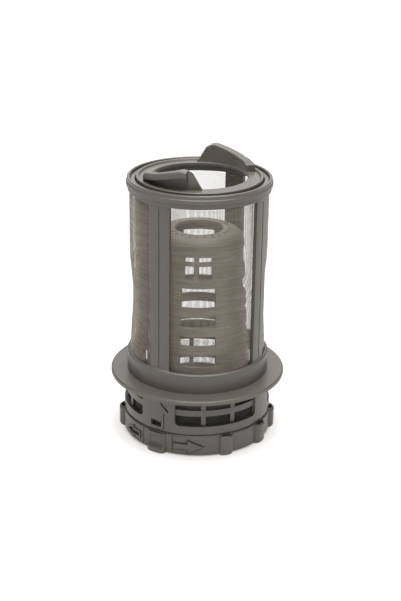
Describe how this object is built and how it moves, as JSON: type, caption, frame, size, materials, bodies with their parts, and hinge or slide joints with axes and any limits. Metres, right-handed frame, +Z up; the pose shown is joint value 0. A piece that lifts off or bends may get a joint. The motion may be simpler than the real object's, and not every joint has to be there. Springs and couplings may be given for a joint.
{
  "type": "dishwasher filter",
  "caption": "Cylindrical dishwasher filter: mesh sleeve in a moulded post frame with flange, winged handle ring, inner cage and bayonet twist ring.",
  "frame": {"origin": "centre of the underside of the twist ring, on the filter's axis", "axes": "+Z up along the axis towards the handle wings, -Y towards the front of the picture, +X to its right"},
  "size_m": [0.086, 0.086, 0.139],
  "materials": {
    "grey_polypropylene": "moulded, softly glossy",
    "light_grey_polypropylene": "moulded, matt",
    "stainless_mesh": "fine woven wire"
  },
  "bodies": {
    "filter_body": {"outer_frame": "grey_polypropylene", "upper_mesh": "stainless_mesh", "lower_mesh": "stainless_mesh", "handle_ring": "grey_polypropylene"},
    "base": {"twist_ring": "grey_polypropylene", "inner_cage": "light_grey_polypropylene"}
  },
  "joints": [
    {"name": "twist_lock", "type": "hinge", "parent": "filter_body", "child": "base", "pos_m": [0, 0, 0], "axis": [0, 0, 1], "range_deg": [-30, 0]}
  ]
}
